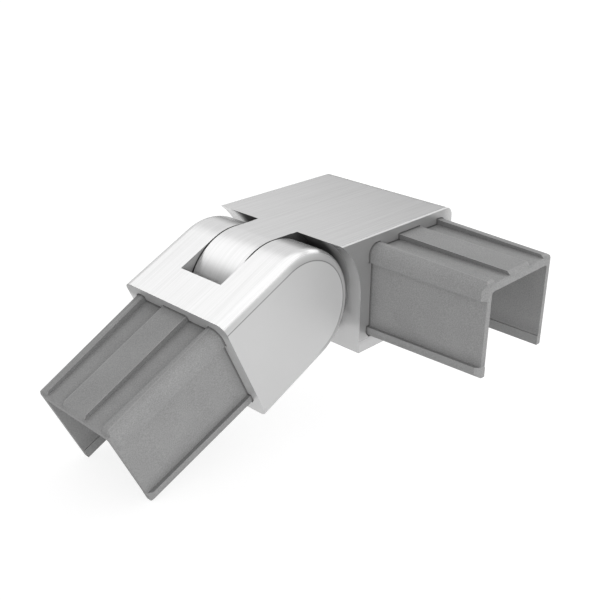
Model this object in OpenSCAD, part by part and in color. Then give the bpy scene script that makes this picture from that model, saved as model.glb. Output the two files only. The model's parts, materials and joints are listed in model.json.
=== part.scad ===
// Adjustable corner joiner for a small slotted handrail. A level rail slides over one sleeve,
// and a descending rail over the other, which hangs on a friction pivot.
// Origin: centre of the rail section at the corner body's end face. +X points from the
// descending rail towards the corner, -Y runs out along the level rail, +Z is up.

/* [Rail section] */
// Width of the rail and of both bodies
rail_w = 25; // [24:0.5:30]
// Height of the rail and of both bodies
rail_h = 21.2; // [20:0.2:24]
// Wall of the rail that slides over a sleeve
rail_wall = 1.5; // [1:0.1:1.8]

/* [Corner body] */
// Length of the corner body along the level rail
corner_l = 29.4; // [28:0.2:36]
// Distance from the pivot axis to the front edge of the top plate
lip_x = 5.6; // [4.6:0.1:6.4]
// Rounding of the corner body's top back edge
back_r = 2; // [1:0.1:3]
// Bevel that breaks the top plate's edges over both end faces
edge_break = 0.2; // [0.1:0.05:0.4]

/* [Fork body] */
// Distance from the pivot axis to the fork's end face
fork_l = 14.8; // [14.8:0.1:18]
// Distance from the pivot axis to the slot's end at the top face
slot_x = 8; // [6:0.1:9]
// Rounding of the fork's long edges and of its round end
edge_r = 1.7; // [0.8:0.1:2.4]
// Angle of the descending rail below level
slope = 25; // [0:1:45]

/* [Pivot] */
// Thickness of the corner body's tongue
tongue_t = 9.4; // [8.4:0.2:10.4]
// Gap between the tongue and each cheek
cheek_gap = 0.2; // [0.1:0.05:0.25]
// Gap between the round ends and the hollows that they turn in
end_gap = 0.3; // [0.25:0.05:0.5]
// Diameter of the pivot screw's shank
pivot_d = 6; // [5:0.5:6.5]
// Diameter of the pivot screw's head
pivot_head_d = 10; // [9:0.5:11]
// Height of the pivot screw's head
pivot_head_h = 3; // [2.5:0.1:3.5]
// Size across flats of the pivot screw's hexagon socket
pivot_hex = 4; // [3:0.5:5]
// Metal left over the pivot screw's tip in the near cheek
cover_t = 2.2; // [1.6:0.1:3]
// Wall of the bush in the tongue
bush_t = 1.45; // [1:0.05:2]
// Outer diameter of a friction washer
washer_d = 13.6; // [12:0.2:15]
// Thickness of a friction washer
washer_t = 1; // [0.8:0.1:1.4]

/* [Sleeves] */
// Length of a sleeve outside its body
sleeve_l = 22.6; // [18:0.2:30]
// Play between the lands and each side of the rail's inside
side_play = 0.4; // [0.2:0.05:0.6]
// Play between the lands and the rail's top wall
top_play = 0.1; // [0.05:0.05:0.4]
// Height of the sleeve's feet above the underside of the bodies
foot_rise = 2.5; // [2.2:0.1:3.2]
// Thickness of the sleeve's web in its recesses
web_t = 1.25; // [1:0.05:1.8]
// Thickness of the sleeve's legs in their recesses at the root
leg_t = 1.85; // [1.6:0.05:2.2]
// Height of the top lands at the sleeve's root
land_h = 1; // [0.8:0.05:1.2]
// How far the top lands fall away towards the sleeve's free end
land_fall = 0.45; // [0:0.05:0.5]
// Height of the side lands
side_land_h = 0.7; // [0.4:0.05:0.8]
// How far each side draws in towards the sleeve's free end
side_draft = 0.85; // [0:0.05:0.9]
// Width of a corner land on the sleeve's top
corner_land_w = 2.6; // [2.4:0.1:3.2]
// Height of a corner land down the sleeve's side
corner_land_z = 3.1; // [2.6:0.1:4]
// Width of the land along the middle of the web
centre_land_w = 5.8; // [4:0.2:7]
// Height of the foot land along the bottom of each leg
foot_land_z = 2; // [1.8:0.1:3]
// Rounding of the sleeve's two top corners
sleeve_corner_r = 1.8; // [1:0.1:2.2]
// Rounding of the feet's outer edges
foot_r = 1.3; // [0.6:0.1:1.4]
// Rounding of the channel's two top corners
channel_r = 0.5; // [0.2:0.1:1]
// Height of the lip along the inside of each foot
foot_lip_z = 1.7; // [1.2:0.1:2.4]
// How far that lip stands into the channel
foot_lip_t = 0.15; // [0.05:0.05:0.3]
// Thickness of a leg's end face inside its lead-in bevel
leg_end_t = 0.9; // [0.7:0.05:1.2]
// Thickness of the web's end face inside its lead-in bevel
web_end_t = 1; // [0.8:0.05:1.2]

/* [Sleeve fixing] */
// Depth of the seat that the sleeve's root sits in
seat_depth = 0.8; // [0.6:0.1:1]
// Clearance round the sleeve's root in its seat
seat_gap = 0.15; // [0.05:0.05:0.2]
// Thickness of the wall that closes the sleeve's root
root_wall_t = 5; // [4.6:0.1:6]
// Diameter of the fixing screws
fix_d = 3; // [2.5:0.5:3]
// Diameter of the fixing screws' heads
fix_head_d = 5.5; // [4.5:0.1:5.6]
// Height of the fixing screws' heads
fix_head_h = 3; // [2:0.1:3]
// Distance between the two fixing screws
fix_pitch = 10; // [8:0.2:10]
// Metal left between a fixing screw's tip and the fork's slot
fix_tip = 0.35; // [0.3:0.05:0.8]

/* [Hidden] */
$fn = 96;
// Radial clearance of turned pieces in their bores
fit_gap = 0.03;
// Radial running clearance of the pivot
run_gap = 0.05;
// Overlap that makes cuts run past a face
past = 1;
// Heights and distances measured from the pivot axis, which lies at mid height
top_z = rail_h / 2;
end_r = top_z;
front_x = end_r + end_gap;
back_x = front_x + rail_w;
rail_x = front_x + rail_w / 2;
face_y = corner_l / 2;
slot_w = tongue_t + 2 * cheek_gap;
slot_end_x = end_r + end_gap;
// Bores
bush_bore_r = pivot_d / 2 + run_gap;
bush_r = pivot_d / 2 + bush_t;
washer_sink = washer_t - cheek_gap + run_gap;
tip_y = rail_w / 2 - cover_t;
// Sleeve section, measured from the centre of the rail section
land_x = rail_w / 2 - rail_wall - side_play;
leg_x = land_x - side_land_h;
inner_x = leg_x - leg_t;
land_z = top_z - rail_wall - top_play;
web_z = land_z - land_h;
inner_z = web_z - web_t;
foot_z = foot_rise - top_z;
side_angle = atan(side_draft / sleeve_l);
land_angle = atan(land_fall / sleeve_l);
web_half = inner_x + (leg_t - side_draft) / 2;
// Fixing screws, measured along the sleeve from the body's end face
head_seat = root_wall_t - seat_depth - fix_head_h;
fix_l = fork_l - slot_end_x - fix_tip + head_seat;

// Radius of an arc that starts upright at mid height and ends dx further in at the top
function hollow_r(dx) = (dx * dx + top_z * top_z) / (2 * dx);

// Moves pieces drawn about the pivot into the part's own frame
module from_pivot() {
    translate([-rail_x, face_y, 0]) children();
}

// Turns pieces drawn on a level fork down to the slope at rest
module on_slope() {
    from_pivot() rotate([0, -slope, 0]) children();
}

// Puts a sleeve drawn along +X out of the corner body's end face
module at_corner_face() {
    rotate([0, 0, -90]) children();
}

// Puts a sleeve drawn along +X out of the fork's end face
module at_fork_face() {
    on_slope() translate([-fork_l, 0, 0]) rotate([0, 0, 180]) children();
}

// Extrudes an outline drawn in X and Z across the pivot axis
module across(width) {
    rotate([90, 0, 0]) linear_extrude(height = width, center = true) children();
}

// Round bar along Y from one place to another
module bar_y(r, from_y, to_y) {
    translate([0, to_y, 0]) rotate([90, 0, 0]) cylinder(r = r, h = to_y - from_y);
}

// Round bar along X from one place to another
module bar_x(r, from_x, to_x) {
    translate([from_x, 0, 0]) rotate([0, 90, 0]) cylinder(r = r, h = to_x - from_x);
}

// Everything on the pivot's side of an upright wall that hollows out towards the top
module hollow_outline(lip, wall) {
    r = hollow_r(wall - lip);
    intersection() {
        translate([wall - r, 0]) circle(r = r);
        translate([-end_r, 0]) square([2 * rail_w, top_z + past]);
    }
    translate([-end_r, -top_z - past]) square([wall + end_r, top_z + past]);
}

// Outline of the block behind the pivot, with its rounded top back edge
module block_outline() {
    difference() {
        translate([lip_x, -top_z]) square([back_x - lip_x, rail_h]);
        hollow_outline(lip_x, front_x);
        difference() {
            translate([back_x - back_r, top_z - back_r]) square(back_r + past);
            translate([back_x - back_r, top_z - back_r]) circle(r = back_r);
        }
    }
}

// The block, with the top plate's edges broken over both end faces
module beveled_block() {
    difference() {
        across(corner_l) block_outline();
        for (side = [-1, 1])
            translate([0, side * face_y, top_z]) rotate([45, 0, 0])
                cube([3 * rail_w, edge_break * sqrt(2), edge_break * sqrt(2)], center = true);
    }
}

// Outline of the tongue, round about the pivot and flush with the block
module tongue_outline() {
    circle(r = end_r);
    translate([0, -top_z]) square([front_x + past, rail_h]);
}

// Seat and screw holes in an end face, drawn along +X
module sleeve_seat_cut() {
    along(-seat_depth, past) root_section(seat_gap);
    for (side = [-1, 1])
        translate([0, side * fix_pitch / 2, 0])
            bar_x(fix_d / 2 + fit_gap, head_seat - fix_l - fit_gap, 0);
}

module corner_body() {
    color("silver") {
        difference() {
            from_pivot() {
                difference() {
                    union() {
                        beveled_block();
                        across(tongue_t) tongue_outline();
                    }
                    bar_y(bush_r + fit_gap, -tongue_t, tongue_t);
                }
            }
            at_corner_face() sleeve_seat_cut();
        }
    }
}

// Fork before its slot and bores are cut: a bar with a round end about the pivot
module fork_blank() {
    rotate([0, -90, 0]) linear_extrude(height = fork_l) rounded_section();
    rotate([90, 0, 0]) rotate_extrude() {
        intersection() {
            rounded_section();
            translate([0, -rail_w]) square([rail_w, 2 * rail_w]);
        }
    }
}

// Section of the fork, height along X and width along Y, with four rounded corners
module rounded_section() {
    half_h = top_z - edge_r;
    half_w = rail_w / 2 - edge_r;
    square([2 * top_z, 2 * half_w], center = true);
    square([2 * half_h, rail_w], center = true);
    for (x = [-half_h, half_h])
        for (y = [-half_w, half_w])
            translate([x, y]) circle(r = edge_r);
}

module fork_body() {
    far_y = rail_w / 2;
    sink = slot_w / 2 + washer_sink;
    color("gainsboro") {
        difference() {
            on_slope() {
                difference() {
                    fork_blank();
                    mirror([1, 0, 0]) across(slot_w) hollow_outline(slot_x, slot_end_x);
                    translate([end_r, 0, 0]) cube([end_r, slot_w, 3 * rail_h], center = true);
                    bar_y(washer_d / 2 + fit_gap, -sink, sink);
                    bar_y(pivot_d / 2 + fit_gap, -tip_y, far_y);
                    bar_y(pivot_head_d / 2 + fit_gap, far_y - pivot_head_h, far_y + past);
                }
            }
            at_fork_face() sleeve_seat_cut();
        }
    }
}

module pivot_bush() {
    color("darkgoldenrod") from_pivot() {
        difference() {
            bar_y(bush_r, -tongue_t / 2, tongue_t / 2);
            bar_y(bush_bore_r, -tongue_t, tongue_t);
        }
    }
}

module pivot_screw() {
    far_y = rail_w / 2;
    socket = pivot_head_h * 0.7;
    color("slategray") on_slope() {
        difference() {
            union() {
                bar_y(pivot_d / 2, fit_gap - tip_y, far_y - pivot_head_h);
                bar_y(pivot_head_d / 2, far_y - pivot_head_h, far_y);
            }
            translate([0, far_y + past, 0]) rotate([90, 0, 0])
                cylinder(d = pivot_hex / cos(30), h = socket + past, $fn = 6);
        }
    }
}

// One friction washer, sunk in its cheek and just clear of the tongue
module friction_washer(side) {
    color("dimgray") on_slope() {
        mid = side * (tongue_t / 2 + run_gap + washer_t / 2);
        difference() {
            bar_y(washer_d / 2, mid - washer_t / 2, mid + washer_t / 2);
            bar_y(pivot_d / 2 + fit_gap, -rail_w, rail_w);
        }
    }
}

// Extrudes a section, width along X and height along Y, out along +X
module along(from_x, to_x) {
    translate([from_x, 0, 0]) rotate([90, 0, 90]) linear_extrude(height = to_x - from_x) children();
}

// Upright rectangle from two opposite corners
module area(x0, z0, x1, z1) {
    translate([x0, z0]) square([x1 - x0, z1 - z0]);
}

// Rectangle from the origin back to -w and down to -h, with its corner at the origin rounded
module rounded_at_origin(w, h, r) {
    area(-w, -h, 0, -r);
    area(-w, -h, -r, 0);
    intersection() {
        area(-r, -r, 0, 0);
        translate([-r, -r]) circle(r = r);
    }
}

// Section of one corner land, its outer corner at the origin
module corner_land_section(grow = 0) {
    translate([grow, grow])
        rounded_at_origin(corner_land_w + 2 * grow, corner_land_z + 2 * grow, sleeve_corner_r + grow);
}

// Section of one foot, its outer bottom corner at the origin
module foot_section(grow = 0) {
    translate([grow, -grow]) mirror([0, 1])
        rounded_at_origin(side_land_h + leg_t + foot_lip_t + 2 * grow, foot_land_z + 2 * grow, foot_r + grow);
}

// Section of the whole sleeve at its root, with the space below the web filled in
module root_section(grow = 0) {
    area(-leg_x - grow, foot_z - grow, leg_x + grow, web_z + grow);
    area(-centre_land_w / 2 - grow, foot_z, centre_land_w / 2 + grow, land_z + grow);
    for (side = [0, 1])
        mirror([side, 0]) {
            translate([land_x, land_z]) corner_land_section(grow);
            translate([land_x, foot_z]) foot_section(grow);
        }
}

// Extrudes a section from a corner of the sleeve's root, drawn in by the draft and down by a fall
module drafted(from_z, fall) {
    translate([0, land_x, from_z]) rotate([0, fall, -side_angle])
        along(-past - seat_depth, sleeve_l + past) children();
}

// One half of the sleeve's outside: a leg with its corner land and its foot
module sleeve_side() {
    drafted(land_z, land_angle) corner_land_section();
    drafted(foot_z, 0) foot_section();
    drafted(0, 0)
        area(-side_land_h - leg_t, foot_z + foot_land_z / 2, -side_land_h, land_z - corner_land_z / 2);
}

// Web between the legs, with its middle land falling away towards the free end
module sleeve_web() {
    along(-seat_depth, sleeve_l) area(-web_half, inner_z - past, web_half, web_z);
    translate([0, 0, land_z]) rotate([0, land_angle, 0]) along(-past - seat_depth, sleeve_l + past)
        area(-centre_land_w / 2, inner_z - land_z, centre_land_w / 2, 0);
}

// Everything inside the two ends and the lead-in bevels of the sleeve's free end
module lead_in_envelope() {
    far = land_x + past;
    end_x = inner_x + leg_end_t;
    linear_extrude(height = 3 * rail_h, center = true)
        polygon([[-seat_depth, far], [sleeve_l + end_x - far, far], [sleeve_l, end_x],
                 [sleeve_l, -end_x], [sleeve_l + end_x - far, -far], [-seat_depth, -far]]);
}

// The space above the lead-in bevel of the web
module above_lead_in() {
    end_z = inner_z + web_end_t;
    across(3 * rail_w)
        polygon([[sleeve_l + past, end_z - past], [sleeve_l + past, end_z + rail_h],
                 [sleeve_l - rail_h, end_z + rail_h]]);
}

// The channel under the web, with rounded top corners and a lip along each foot
module channel_section() {
    lip_z = foot_z + foot_lip_z;
    for (side = [0, 1])
        mirror([side, 0]) {
            translate([inner_x, inner_z]) rounded_at_origin(inner_x + past, inner_z - lip_z, channel_r);
            area(-past, foot_z - past, inner_x - foot_lip_t, inner_z - channel_r);
        }
}

// One U-shaped sleeve, drawn along +X with its body's end face at X = 0
module sleeve() {
    difference() {
        intersection() {
            union() {
                for (side = [0, 1])
                    mirror([0, side, 0]) sleeve_side();
                sleeve_web();
                along(-seat_depth, root_wall_t - seat_depth) area(-web_half, foot_z, web_half, web_z);
            }
            lead_in_envelope();
        }
        above_lead_in();
        along(root_wall_t - seat_depth, sleeve_l + past) channel_section();
        for (side = [-1, 1])
            translate([0, side * fix_pitch / 2, 0]) {
                bar_x(fix_d / 2 + fit_gap, -seat_depth - past, root_wall_t);
                bar_x(fix_head_d / 2 + fit_gap, head_seat, root_wall_t + past);
            }
    }
}

// The two screws that hold a sleeve's root to its body
module sleeve_screws() {
    socket_r = fix_head_d / 4 / cos(30);
    for (side = [-1, 1])
        translate([0, side * fix_pitch / 2, 0])
            difference() {
                union() {
                    bar_x(fix_d / 2, head_seat - fix_l, head_seat);
                    bar_x(fix_head_d / 2, head_seat, head_seat + fix_head_h);
                }
                translate([head_seat + fix_head_h / 2, 0, 0]) rotate([0, 90, 0])
                    cylinder(r = socket_r, h = fix_head_h, $fn = 6);
            }
}

module corner_sleeve() {
    color("gray") at_corner_face() sleeve();
}

module fork_sleeve() {
    color("gray") at_fork_face() sleeve();
}

module corner_sleeve_screws() {
    color("darkslategray") at_corner_face() sleeve_screws();
}

module fork_sleeve_screws() {
    color("darkslategray") at_fork_face() sleeve_screws();
}

corner_body();
corner_sleeve();
corner_sleeve_screws();
pivot_bush();
fork_body();
fork_sleeve();
fork_sleeve_screws();
pivot_screw();
friction_washer(-1);  // friction_washer_near
friction_washer(1);  // friction_washer_far
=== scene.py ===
# %% [markdown]
# An adjustable corner joiner for a small slotted handrail. Two brushed stainless steel bodies meet
# at a fork and tongue pivot, and each carries a matt grey, U-shaped sleeve that a rail slides over.
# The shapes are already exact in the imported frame, so this script is about surfaces: the grain of
# the brushing, the blasted skin of the sleeves, the turned screws, and the light that shows them.

# %% Load the frame
import json

import bpy
from mathutils import Matrix, Vector


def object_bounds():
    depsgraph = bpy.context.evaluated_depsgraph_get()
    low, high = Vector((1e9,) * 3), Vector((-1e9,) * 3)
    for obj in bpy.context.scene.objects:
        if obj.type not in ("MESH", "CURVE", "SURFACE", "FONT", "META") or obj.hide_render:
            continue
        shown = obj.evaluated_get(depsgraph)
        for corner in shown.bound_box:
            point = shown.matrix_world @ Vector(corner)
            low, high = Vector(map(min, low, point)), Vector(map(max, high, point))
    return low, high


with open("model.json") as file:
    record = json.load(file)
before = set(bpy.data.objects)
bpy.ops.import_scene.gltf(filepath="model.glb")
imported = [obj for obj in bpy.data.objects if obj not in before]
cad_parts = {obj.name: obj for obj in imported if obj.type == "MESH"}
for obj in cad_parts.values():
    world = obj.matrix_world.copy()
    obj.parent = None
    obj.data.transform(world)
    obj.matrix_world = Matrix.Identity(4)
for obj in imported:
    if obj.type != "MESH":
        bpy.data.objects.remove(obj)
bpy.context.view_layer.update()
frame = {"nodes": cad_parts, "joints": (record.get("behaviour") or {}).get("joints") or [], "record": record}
nodes = frame["nodes"]
print("nodes:", sorted(nodes))

# %% [markdown]
# Sizes on the joiner are written in millimetres, as on a drawing of the real one. Blender works in
# metres, so a size is multiplied by `mm` where Blender takes it, and a distance that Blender gives
# is divided by `mm`. The slope and the pivot come from the frame, so the grain and the marks of the
# finish stay in line with the model.

# %% Driving sizes
mm = 0.001
pivot = Vector(frame["joints"][0]["pos_m"])
fork_face = next(m for m in frame["record"]["mounts"] if m["name"] == "sloping_rail_sleeve")
fork_out = Vector(fork_face["axis"])
fork_up = Vector((fork_out.z, 0, -fork_out.x))
corner_out = Vector((0, -1, 0))
corner_up = Vector((0, 0, 1))
towards_fork = Vector((-1, 0, 0))
print("fork runs out along", tuple(round(v, 3) for v in fork_out))

# %% [markdown]
# Shader maths reads best as plain arithmetic. `Link` wraps one output socket of a material's node
# tree, and its operators add Math nodes, so `1 - mask * 0.3` builds two nodes. Most marks on a
# surface are masks, which are 1 inside the mark and 0 outside it: `step`, `band` and `near` make
# them from a distance or from the way that the surface faces.

# %% Sockets with arithmetic
class Link:
    """One output socket, with Python's arithmetic."""

    def __init__(self, finish, socket):
        self.finish = finish
        self.socket = socket

    def _math(self, operation, *values):
        return self.finish.node("ShaderNodeMath", {"operation": operation}, dict(enumerate(values)))

    def __add__(self, other):
        return self._math("ADD", self, other)

    __radd__ = __add__

    def __sub__(self, other):
        return self._math("SUBTRACT", self, other)

    def __rsub__(self, other):
        return self._math("SUBTRACT", other, self)

    def __mul__(self, other):
        return self._math("MULTIPLY", self, other)

    __rmul__ = __mul__

    def __truediv__(self, other):
        return self._math("DIVIDE", self, other)

    def __pow__(self, other):
        return self._math("POWER", self, other)

    def __abs__(self):
        return self._math("ABSOLUTE", self)

    def least(self, other):
        return self._math("MINIMUM", self, other)

    def most(self, other):
        return self._math("MAXIMUM", self, other)

    def step(self, low, high):
        """0 below low, 1 above high, and a smooth rise between them; high may be the lower one."""
        ends = {"From Min": low, "From Max": high, "Value": self}
        return self.finish.node("ShaderNodeMapRange", {"interpolation_type": "SMOOTHSTEP"}, ends)

    def band(self, start, full, last_full, end):
        """1 between full and last_full, and 0 before start and past end."""
        return self.step(start, full) * self.step(end, last_full)

    def near(self, place, width):
        """1 at a place, falling to 0 over a width on both sides."""
        return abs(self - place).step(width, 0.0)


# %% [markdown]
# `Finish` is one material, or the world. One method adds any node, and the others are the few nodes
# that this joiner needs again and again. Colours and vectors must not pass through Math nodes, so
# they have their own helpers, `mix` and `vector_of`.

# %% Materials
noise_detail = 3.0


class Finish:
    """One material, or the world, and the nodes that make its pattern."""

    def __init__(self, owner, shader="Principled BSDF"):
        self.owner = owner
        self.owner.use_nodes = True
        self.tree = self.owner.node_tree
        self.surface = self.tree.nodes[shader]

    def node(self, kind, settings=None, sockets=None, output=0):
        """Adds a node, sets its settings first, then gives its sockets values or links."""
        made = self.tree.nodes.new(kind)
        for name, value in (settings or {}).items():
            setattr(made, name, value)
        for name, value in (sockets or {}).items():
            self.feed(made.inputs[name], value)
        return Link(self, made.outputs[output])

    def feed(self, socket, value):
        if isinstance(value, Link):
            self.tree.links.new(value.socket, socket)
        else:
            socket.default_value = value

    def place(self):
        """Object coordinates, in metres."""
        return self.node("ShaderNodeTexCoord", output="Object")

    def facing(self):
        """The surface's own normal in object coordinates."""
        return self.node("ShaderNodeTexCoord", output="Normal")

    def rays(self):
        """Three masks: what the camera sees, what a mirror sees, and what is seen through glass."""
        kinds = ("Is Camera Ray", "Is Glossy Ray", "Is Transmission Ray")
        return [self.node("ShaderNodeLightPath", output=kind) for kind in kinds]

    def along(self, vector, direction):
        """How far a vector reaches along a direction, as a number."""
        sockets = {0: vector, 1: tuple(direction)}
        return self.node("ShaderNodeVectorMath", {"operation": "DOT_PRODUCT"}, sockets, output="Value")

    def vector_of(self, *numbers):
        """A vector put together from three numbers."""
        return self.node("ShaderNodeCombineXYZ", None, dict(enumerate(numbers)))

    def noise(self, vector, scale, fineness):
        """Noise from 0 to 1. A higher fineness gives the small grains more weight."""
        sockets = {"Vector": vector, "Scale": scale, "Detail": noise_detail, "Roughness": fineness}
        return self.node("ShaderNodeTexNoise", None, sockets)

    def mix(self, factor, first, second):
        """A blend of two colours."""
        sockets = {"Factor": factor, 6: first, 7: second}
        return self.node("ShaderNodeMix", {"data_type": "RGBA"}, sockets, output=2)

    def bump(self, height, distance, strength):
        sockets = {"Height": height, "Distance": distance, "Strength": strength}
        return self.node("ShaderNodeBump", None, sockets)

    def finish(self, **sockets):
        """Feeds the shader itself. A socket's name is written with _ for its spaces."""
        for name, value in sockets.items():
            self.feed(self.surface.inputs[name.replace("_", " ")], value)
        return self.owner


def new_finish(name):
    """A finish for a new material of that name."""
    return Finish(bpy.data.materials.new(name))


def dress(node_name, material):
    """Gives a piece of the frame its material."""
    slots = nodes[node_name].data.materials
    slots.clear()
    slots.append(material)
    print(node_name, "wears", material.name, "with", len(material.node_tree.nodes), "shader nodes")


def grey(level):
    """A neutral grey as Blender's linear colour, from the 0 to 255 level that a screen shows."""
    share = level / 255
    linear = share / 12.92 if share <= 0.04045 else ((share + 0.055) / 1.055) ** 2.4
    return linear, linear, linear, 1.0


# %% [markdown]
# The camera stands at the height and bearing of the reference view. Its place and its three
# directions were worked out from the edges of the bodies, and its focal length is given in pixels
# of a picture 600 wide.
# A lens in millimetres goes with a sensor in millimetres, so the focal length in pixels is scaled
# by the sensor's width.

# %% Camera
camera_place = Vector((-123.041, -92.145, 64.455)) * mm
camera_right = Vector((0.696557, -0.717435, 0.009798))
camera_up = Vector((0.289680, 0.293691, 0.910951))
camera_back = Vector((-0.656425, -0.631690, 0.412399))
picture_px = 600
focal_px = 929.711
sensor_width = 36
nearest_seen = 10

camera_data = bpy.data.cameras.new("camera")
camera_data.sensor_width = sensor_width
camera_data.lens = focal_px / picture_px * sensor_width
camera_data.clip_start = nearest_seen * mm
camera = bpy.data.objects.new("camera", camera_data)
bpy.context.scene.collection.objects.link(camera)
turn = Matrix((camera_right, camera_up, camera_back)).transposed()
camera.matrix_world = Matrix.Translation(camera_place) @ turn.to_4x4()
bpy.context.scene.camera = camera
print("lens", round(camera_data.lens, 2), "mm")

# %% [markdown]
# Every finish below is drawn in the own directions of the piece that carries it: how far out along
# its rail, how far across, and how high. `Side` holds those three directions and an origin, so one
# description serves the level side and the sloping side. The sleeves and the end faces are measured
# from the end faces, and what goes round the pivot is measured from the pivot.

# %% Directions of the two sides
class Side:
    """An origin and three directions: out along the rail, across it, and up."""

    def __init__(self, origin, out, up):
        self.origin = Vector(origin)
        self.out = out
        self.up = up
        self.across = up.cross(out)

    def reach(self, finish):
        """Out, across and up from the origin, in millimetres, as three numbers."""
        place = finish.place()
        numbers = []
        for direction in (self.out, self.across, self.up):
            start = self.origin.dot(direction)
            numbers.append((finish.along(place, direction) - start) / mm)
        return numbers

    def slant(self, finish):
        """How squarely the surface faces out, across and up."""
        facing = finish.facing()
        return [finish.along(facing, direction) for direction in (self.out, self.across, self.up)]


level_side = Side((0, 0, 0), corner_out, corner_up)
sloping_side = Side(fork_face["pos_m"], fork_out, fork_up)
pivot_level = Side(pivot, towards_fork, corner_up)
pivot_slope = Side(pivot, fork_out, fork_up)
print("across the slope:", tuple(round(v, 3) for v in sloping_side.across))

# %% [markdown]
# Brushed stainless steel is a plain metal with one thing added: fine parallel lines, left by the
# belt. They are noise that is stretched about eighty times along the belt's path, and they show on
# the tops and the round ends. The upright sides were finished finer, so they are even and duller.
# The end faces were milled, so each has a grey, a share of metal and a roughness of its own.
# `Steel` keeps these parts apart until every mark is on them, and only then feeds the shader.

# %% Brushed steel
body_level = 205
body_metal, body_rough = 0.6, 0.24
side_metal, side_rough = 0.35, 0.5
line_scale = 5.0
line_fineness = 0.6
stretch = 0.012
line_depth = 0.4
line_darker, line_lighter = 24, 16
line_rough = 0.06
line_height, line_bump = 0.003, 0.5
lines_off_the_sides = 0.85
shade_rough = 0.8
milled_depth = 0.08
faces_aside = (0.7, 0.95)
faces_the_end = (0.8, 0.95)


class Steel:
    """The parts of one brushed finish, before they are fed to its shader."""

    def __init__(self, name, side, level):
        self.finish = new_finish(name)
        self.out, self.across, self.height = side.reach(self.finish)
        self.faces_out, self.faces_across, self.faces_up = side.slant(self.finish)
        self.upright = abs(self.faces_across).step(*faces_aside)
        stretched = self.finish.vector_of(self.across, self.out * stretch, self.height * stretch)
        self.lines = (self.finish.noise(stretched, line_scale, line_fineness) - 0.5) * 2
        self.lines = self.lines * (1 - self.upright * lines_off_the_sides)
        tone = (self.lines * line_depth + 0.5).most(0.0).least(1.0)
        self.colour = self.finish.mix(tone, grey(level - line_darker), grey(level + line_lighter))
        self.metal = self.upright * (side_metal - body_metal) + body_metal
        self.rough = self.upright * (side_rough - body_rough) + body_rough + self.lines * line_rough

    def milled_end(self, side, level, metal, rough):
        """Gives a side's end face its own grey, metal and roughness, and returns its mask."""
        face = side.slant(self.finish)[0].step(*faces_the_end)
        face = face * abs(side.reach(self.finish)[0]).step(2 * milled_depth, milled_depth)
        self.colour = self.finish.mix(face, self.colour, grey(level))
        self.metal = self.metal * (1 - face) + face * metal
        self.rough = self.rough * (1 - face) + face * rough
        self.lines = self.lines * (1 - face)
        return face

    def paint_shade(self, amount, level):
        """Painted shade of one grey level, where `amount` is 1. It is dull and no metal."""
        self.colour = self.finish.mix(amount, self.colour, grey(level))
        self.metal = self.metal * (1 - amount)
        self.rough = self.rough * (1 - amount) + amount * shade_rough

    def material(self):
        bump = self.finish.bump(self.lines, line_height * mm, line_bump)
        return self.finish.finish(Base_Color=self.colour, Metallic=self.metal,
                                  Roughness=self.rough, Normal=bump)


# %% [markdown]
# Both bodies get painted shade at the pivot. The faces in the thin gap between the tongue and the
# cheeks are painted nearly black as shade. One mask finds them on either body: they lie within the
# slot's width of the middle, and face sideways.

# %% Faces in the slot
slot_half = 4.9
# Greys of the painted shade: in the gap by the tongue, in the hollow and the slot, on the end faces, and by
# the fork's rounded edge.
gap_shade_level, deep_shade_level, end_shade_level, crease_shade_level = 22, 30, 50, 60


def in_the_slot(steel):
    """1 on the sides of the tongue and on the two walls of the slot."""
    inside = abs(steel.across).step(slot_half + 0.3, slot_half + 0.2)
    return inside * abs(steel.faces_across).step(0.8, 0.9)


print("the slot is", 2 * slot_half, "mm wide")

# %% [markdown]
# The corner body. The thin bevel along the plate's edge over the end face would mirror the bright
# wall as a white thread, so most of its metal is taken off. The end face gets painted shade: none
# along its foot and at its far side, and most of it high up at the fork's side. The hollow that the
# fork turns in can't be brushed, so its lines are evened out, and painted shade makes it a little
# darker, darkest beside the tongue and under the top plate, clearing towards the open side. A hair
# of painted shade edges the tongue's round end.

# %% Corner body
# The corner body's steel is painted two levels lighter than the fork's, as painted light on the same steel.
corner_painted_lighter = 2
end_level, end_metal, end_rough = 190, 0.67, 0.16
bevel_start, bevel_full, bevel_dulled = -0.3, -0.25, 0.75
foot_shade_gone, foot_shade_full, foot_shade_amount = -9.5, -7.5, 0.27
head_from, head_full, head_shade_amount = 2, 9, 0.06
fork_side_from, fork_side_full, fork_side_shade_amount = -8.5, -10, 0.12
rise_from, rise_full = -9, 8
far_shade_gone, far_shade_full = 12.6, 9.2

corner = Steel("brushed_corner", pivot_level, body_level + corner_painted_lighter)
end_out, end_across = level_side.reach(corner.finish)[:2]
bevel = corner.faces_up.band(0.5, 0.65, 0.75, 0.85) * end_out.step(bevel_start, bevel_full)
corner.metal = corner.metal * (1 - bevel * bevel_dulled)

corner_end = corner.milled_end(level_side, end_level, end_metal, end_rough)
# Painted shade on the corner's end face: none along its foot or at its far side, more high up and at the
# fork's side.
end_face_shade = corner.height.step(foot_shade_gone, foot_shade_full) * foot_shade_amount
end_face_shade = end_face_shade + corner.height.step(head_from, head_full) * head_shade_amount
beside_fork = end_across.step(fork_side_from, fork_side_full) * corner.height.step(rise_from, rise_full)
end_face_shade = end_face_shade + beside_fork * fork_side_shade_amount
corner.paint_shade(corner_end * end_face_shade * end_across.step(far_shade_gone, far_shade_full), end_shade_level)

# %% Hollow and tongue
lip_out = -4.5
hollow_shade_darker, hollow_evened = 4, 0.8
shaded_from, shaded_full, shaded_dark = 12.8, 9.2, 0.9
under_plate_from, under_plate_full = -4, 5
tongue_side_shade_amount = 0.95
tongue_half = 4.7
rim_from, rim_full, tongue_rim_shade_amount = 0.16, 0.1, 0.85

# Painted shade in the hollow: an evened, slightly darker grey, darkest beside the tongue and under the
# plate.
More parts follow.
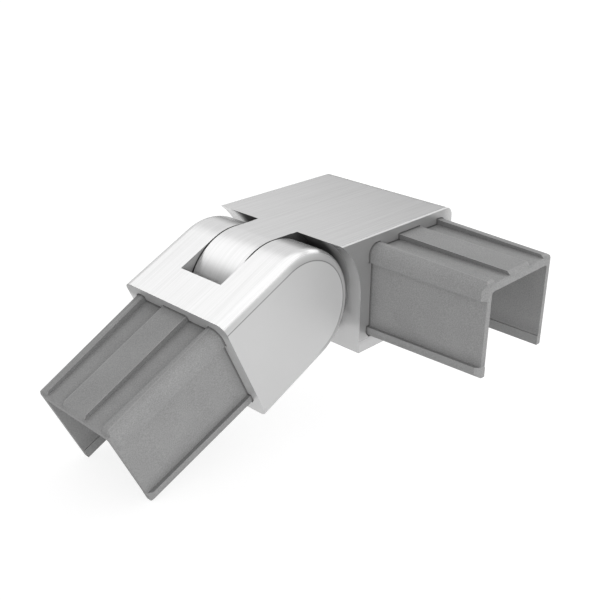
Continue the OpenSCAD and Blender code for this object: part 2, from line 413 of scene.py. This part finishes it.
hollow = corner.faces_out.step(0.2, 0.5) * corner.out.step(lip_out + 1, lip_out)
corner.colour = corner.finish.mix(hollow * hollow_evened, corner.colour, grey(body_level - hollow_shade_darker))
depth = abs(corner.across).step(shaded_from, shaded_full)
depth = depth * corner.height.step(under_plate_from, under_plate_full)
corner.paint_shade(depth * hollow * shaded_dark, deep_shade_level)
# Painted shade, nearly black, on the tongue's sides in the gap to the cheeks.
corner.paint_shade(in_the_slot(corner) * tongue_side_shade_amount, gap_shade_level)
# A thin line of painted shade along the tongue's edge by the gap.
tongue_rim = abs(corner.across).step(tongue_half - rim_from, tongue_half - rim_full)
tongue_rim = tongue_rim * (1 - corner.upright) * corner.out.step(lip_out + 0.05, lip_out + 0.15)
corner.paint_shade(tongue_rim * tongue_rim_shade_amount, gap_shade_level)
dress("corner_body", corner.material())

# %% [markdown]
# The fork body. A fine line of painted shade runs round its side where the flat ends and the
# rounded edge begins: it goes along the straight top, round the end about the pivot, and is left out
# along the bottom. The distance that finds it is the height alone on the straight part, and the
# distance from the pivot on the round end. Painted shade also darkens the rounded edge round the
# end, the top of the end face, the slot's end wall behind the tongue and its side walls, which are
# darkest where the tongue covers them.

# %% Fork body
fork_end_level, fork_end_metal, fork_end_rough = 216, 0.35, 0.35
fork_end_from, fork_end_full, fork_end_shade_amount = 7.0, 9.0, 0.36
outer_side = 12.5
crease_at, crease_width, crease_dark = 8.9, 0.18, 0.65
line_ends_below, whole_above = -8.5, -6.0
edge_width, edge_dark = 1.5, 0.3
edge_inner, edge_outer = 11.2, 12.2
edge_straight, edge_round = 2, -2

fork = Steel("brushed_fork", pivot_slope, body_level)
fork_end = fork.milled_end(sloping_side, fork_end_level, fork_end_metal, fork_end_rough)
# Painted shade over the top of the fork's end face.
fork.paint_shade(fork_end * fork.height.step(fork_end_from, fork_end_full) * fork_end_shade_amount, end_shade_level)

round_out = fork.out.least(0.0)
from_centre = (round_out * round_out + fork.height * fork.height) ** 0.5
on_side = abs(fork.across).step(outer_side - 0.4, outer_side - 0.1) * fork.upright
# A painted shade line where the flat meets the rounded edge, left out along the bottom.
crease = from_centre.near(crease_at, crease_width) * on_side * fork.height.step(line_ends_below, whole_above)
fork.paint_shade(crease * crease_dark, crease_shade_level)
# Painted shade on the rounded edge round the end.
rounded_edge_shade = from_centre.band(crease_at - 0.1, crease_at, crease_at, crease_at + edge_width)
rounded_edge_shade = rounded_edge_shade * abs(fork.across).step(edge_inner, edge_outer)
fork.paint_shade(rounded_edge_shade * fork.out.step(edge_straight, edge_round) * edge_dark, crease_shade_level)

# %% Slot of the fork
round_r = 10.6
slot_end = 12.5
shade_on_end_wall = 0.85
shade_on_side_walls, shade_where_covered = 0.45, 0.5

# Painted shade on the slot's end wall behind the tongue and on its side walls, darkest where the tongue
# covers them.
behind_tongue = abs(fork.across).step(slot_half + 0.1, slot_half - 0.1)
behind_tongue = behind_tongue * fork.out.band(round_r - 0.5, round_r, slot_end, slot_end + 0.3)
fork.paint_shade(behind_tongue * fork.faces_out.step(-0.1, -0.4) * shade_on_end_wall, deep_shade_level)
radius = (fork.out * fork.out + fork.height * fork.height) ** 0.5
covered = radius.step(round_r + 0.15, round_r - 0.05)
fork.paint_shade(in_the_slot(fork) * (covered * shade_where_covered + shade_on_side_walls), deep_shade_level)
dress("fork_body", fork.material())

# %% [markdown]
# The sleeves are left as cast and then blasted: a dull, even grey with a fine sandy grain. The step
# walls beside the lands, the ledges over the feet and the root beside the body are painted darker as
# shade, and a soft band of painted shade lies along them. The rims of the lands get a painted
# highlight and are a little lighter. All the masks are measured on the sleeve's own section, so
# both sleeves share them.

# %% Painted shade and highlights of a sleeve
land_half = 2.9
corner_land_start = 8.0
web_top = 8.0
foot_top = -6.1
shade_reach = 1.7
ledge_reach = 1.5 * shade_reach
shade_on_walls, soft_band_shade, root_line_shade = 0.32, 0.16, 0.5
root_full, root_edge = 0.1, 0.5
root_soft_full, root_soft_edge = 0.2, 2.0
rim_width = 0.16
faces_mostly = (0.5, 0.8)


def sleeve_shade_share(reach, slant):
    """How much painted shade a place on the sleeve gets, from 0 to 1."""
    out, across, height = reach
    sideways, upward = slant[1:]
    from_middle = abs(across)
    faces_up = upward.step(*faces_mostly)
    wall = abs(sideways).step(*faces_mostly) * height.step(web_top - 0.05, web_top + 0.05)
    wall = wall * from_middle.step(corner_land_start + 0.5, corner_land_start + 0.3)
    ledge = faces_up * height.step(foot_top + 0.4, foot_top + 0.2)
    steps = from_middle.near(land_half, shade_reach).most(from_middle.near(corner_land_start, shade_reach))
    on_web = height.band(web_top - 0.3, web_top - 0.2, web_top + 0.1, web_top + 0.2)
    beside_wall = steps * on_web * faces_up
    over_ledge = height.near(foot_top, ledge_reach) * height.step(foot_top, foot_top + 0.1)
    hard = (wall * shade_on_walls).most(ledge * shade_on_walls).most(out.step(root_edge, root_full) * root_line_shade)
    soft = beside_wall.most(over_ledge).most(out.step(root_soft_edge, root_soft_full))
    return hard.most(soft * soft_band_shade)


def land_rim_highlights(reach, slant):
    """1 on the long rims of the middle land and of the corner lands, which get a painted highlight."""
    from_middle, height = abs(reach[1]), reach[2]
    rims = from_middle.near(land_half - 0.1, rim_width)
    rims = rims.most(from_middle.near(corner_land_start + 0.5, rim_width))
    return rims * height.step(web_top + 0.15, web_top + 0.25) * slant[2].step(*faces_mostly)


# The painted shade reaches this far from a step.
print("dust lies up to", shade_reach, "mm from a step")

# %% [markdown]
# The sandy grain is too small to model, so it is noise in the colour, in the roughness and in a
# very low bump, with a wider cloud of noise under it. The noise reads places in metres, so its
# scale is in grains to the metre.

# %% Blasted sleeves
sleeve_level = 150
sleeve_metal, sleeve_rough, sleeve_sheen = 0.15, 0.7, 0.3
grain_scale, grain_fineness = 5200, 0.7
grain_depth, grain_rough = 1.8, 0.2
grain_height, grain_bump = 0.01, 0.4
cloud_scale, cloud_fineness = 180, 0.5
cloud_depth = 0.35
sleeve_darker, sleeve_lighter = 20, 18
sleeve_shade_level = 60
rim_highlight_lighter, rim_highlight_share = 30, 0.35


def blasted(name, side):
    """A dull cast skin with its grain, painted shade by its steps and root, and painted highlights on its
    rims.
    """
    finish = new_finish(name)
    place = finish.place()
    reach = side.reach(finish)
    slant = side.slant(finish)
    grain = finish.noise(place, grain_scale, grain_fineness)
    cloud = finish.noise(place, cloud_scale, cloud_fineness)
    tone = (grain - 0.5) * grain_depth + (cloud - 0.5) * cloud_depth + 0.5
    tone = tone.most(0.0).least(1.0)
    colour = finish.mix(tone, grey(sleeve_level - sleeve_darker), grey(sleeve_level + sleeve_lighter))
    colour = finish.mix(sleeve_shade_share(reach, slant), colour, grey(sleeve_shade_level))
    # Painted highlights on the rims of the lands.
    colour = finish.mix(land_rim_highlights(reach, slant) * rim_highlight_share, colour, grey(sleeve_level + rim_highlight_lighter))
    rough = (grain - 0.5) * grain_rough + sleeve_rough
    bump = finish.bump(grain, grain_height * mm, grain_bump)
    return finish.finish(Base_Color=colour, Metallic=sleeve_metal, Roughness=rough,
                         Specular_IOR_Level=sleeve_sheen, Normal=bump)


dress("corner_sleeve", blasted("blasted_corner_sleeve", level_side))
dress("fork_sleeve", blasted("blasted_fork_sleeve", sloping_side))

# %% [markdown]
# Screws, bush and washers are turned parts. A turning tool leaves rings about the piece's own axis,
# so the noise reads two numbers only: the distance from the axis and the place along it. The two
# screws of a sleeve share one material, and its rings go about the middle of the sleeve. Each
# recipe gives a centre, an axis, a light and a dark tone, the share of metal and the roughness.

# %% Turned parts
ring_scale, ring_fineness = 4000, 0.6
ring_rough = 0.2
ring_height, ring_bump = 0.004, 0.5


def turned(name, centre, axis, light, dark, metal, rough):
    """Rings about `axis` through `centre`."""
    finish = new_finish(name)
    place = finish.place()
    offset = finish.node("ShaderNodeVectorMath", {"operation": "SUBTRACT"}, {0: place, 1: tuple(centre)})
    reach = finish.along(offset, axis)
    length = finish.node("ShaderNodeVectorMath", {"operation": "LENGTH"}, {0: offset}, output="Value")
    radius = (length * length - reach * reach).most(0.0) ** 0.5
    rings = finish.noise(finish.vector_of(radius, reach, 0.0), ring_scale, ring_fineness)
    colour = finish.mix(rings, dark, light)
    roughness = (rings - 0.5) * ring_rough + rough
    bump = finish.bump(rings, ring_height * mm, ring_bump)
    return finish.finish(Base_Color=colour, Metallic=metal, Roughness=roughness, Normal=bump)


across_pivot = Vector((0, 1, 0))
steel_light, steel_dark = grey(200), grey(150)
bronze_light, bronze_dark = (0.60, 0.42, 0.20, 1), (0.40, 0.26, 0.11, 1)
washer_light, washer_dark = grey(70), grey(48)
washer = (pivot, across_pivot, washer_light, washer_dark, 0.0, 0.6)
turned_pieces = {
    "pivot_screw": (pivot, across_pivot, steel_light, steel_dark, 1.0, 0.3),
    "pivot_bush": (pivot, across_pivot, bronze_light, bronze_dark, 1.0, 0.35),
    "friction_washer_near": washer,
    "friction_washer_far": washer,
    "corner_sleeve_screws": (level_side.origin, corner_out, steel_light, steel_dark, 1.0, 0.35),
    "fork_sleeve_screws": (sloping_side.origin, fork_out, steel_light, steel_dark, 1.0, 0.35),
}
for name, recipe in turned_pieces.items():
    dress(name, turned("turned_" + name, *recipe))

# %% [markdown]
# The joiner lies on a plain white floor. The floor's own colour is bright enough to be white in the
# light, and a share of glow on what the camera and the steel see keeps it white far away, while the
# soft shadow under the joiner stays.

# %% Floor
floor_size = 3.0
floor_white, floor_rough = 0.86, 0.9
glow_share, glow_strength = 0.6, 1.35

bpy.ops.mesh.primitive_plane_add(size=floor_size, location=(0, 0, 0))
floor = bpy.context.object
floor.name = "floor"
floor_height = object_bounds()[0][2]
floor.data.transform(Matrix.Translation((0, 0, floor_height)))
white = new_finish("floor_white")
white.finish(Base_Color=(floor_white, floor_white, floor_white, 1), Roughness=floor_rough)
seen, mirrored, through = white.rays()
glowing = (seen + mirrored + through).least(1.0) * glow_share
glow = white.node("ShaderNodeEmission", None, {"Color": (1, 1, 1, 1), "Strength": glow_strength})
plain = Link(white, white.surface.outputs[0])
blend = white.node("ShaderNodeMixShader", None, {0: glowing, 1: plain, 2: glow})
white.feed(white.tree.nodes["Material Output"].inputs["Surface"], blend)
floor.data.materials.append(white.owner)
print("the floor lies", round(-floor_height / mm, 2), "mm below the level rail's middle")

# %% [markdown]
# Steel shows what stands round it more than its own colour. It mirrors a white room, whose walls
# darken towards the floor, with a bright ceiling and a dark screen that stands low on the left. The
# flat plate mirrors a wall and stays grey, the sloping top of the fork mirrors the ceiling and turns
# almost white, and the tongue shows the edge of the screen. Dull surfaces get an even light of one
# strength instead, and the camera itself sees plain white.

# %% World
wall_slope = (-0.45, 0.2, 1.0)
wall_from, wall_full = -0.04, 0.24
wall_dark, wall_light = 0.2, 1.22
ceiling_slope = (-0.35, 0.0, 1.0)
ceiling_from, ceiling_full = 0.52, 0.63
ceiling_light = 0.88
screen_edge, screen_inside = 0.1, 0.5
screen_top, screen_low = 0.69, 0.4
screen_dark = 0.68
even_light = 0.6

room = Finish(bpy.data.worlds.new("room"), "Background")
bpy.context.scene.world = room.owner
direction = room.node("ShaderNodeTexCoord", output="Generated")
wall = room.along(direction, wall_slope).step(wall_from, wall_full) * (wall_light - wall_dark) + wall_dark
ceiling = room.along(direction, ceiling_slope).step(ceiling_from, ceiling_full) * ceiling_light
screen = room.along(direction, towards_fork).step(screen_edge, screen_inside)
screen = screen * room.along(direction, corner_up).step(screen_top, screen_low) * screen_dark
seen, mirrored, through = room.rays()
clear = (seen + through).least(1.0)
even = (1 - clear - mirrored).most(0.0) * even_light
room.finish(Color=(1, 1, 1, 1), Strength=clear + mirrored * (wall + ceiling) * (1 - screen) + even)
print("the room is made of", len(room.tree.nodes), "shader nodes")

# %% [markdown]
# Two wide, soft lamps light the dull surfaces from the front left and from the right. The steel
# doesn't mirror them, because each would show in it as a bright panel. A third lamp is mirrored,
# and is the glint on the fork's rounded edge.

# %% Lamps
lamp_distance = 800


def soft_lamp(name, direction, size, power, mirrored=False):
    """A lamp that looks at the pivot from `direction`: its width and height in metres, and its watts."""
    data = bpy.data.lights.new(name, "AREA")
    data.shape = "RECTANGLE"
    data.size, data.size_y = size
    data.energy = power
    lamp = bpy.data.objects.new(name, data)
    bpy.context.scene.collection.objects.link(lamp)
    lamp.visible_glossy = mirrored
    lamp.location = pivot + Vector(direction).normalized() * lamp_distance * mm
    lamp.rotation_euler = (pivot - lamp.location).to_track_quat("-Z", "Y").to_euler()
    print(name, "gives", power, "W")


soft_lamp("front_left", (-0.4, -0.85, 0.12), (0.8, 0.24), 3.2)
soft_lamp("right", (0.9, -0.1, 0.42), (0.6, 0.3), 1.4)
soft_lamp("glint", (0.9, -0.03, 0.41), (0.52, 0.42), 0.92, mirrored=True)

# %% [markdown]
# The Standard view keeps each grey as it was written. The finishes change no shape.

view = bpy.context.scene.view_settings
view.view_transform = "Standard"
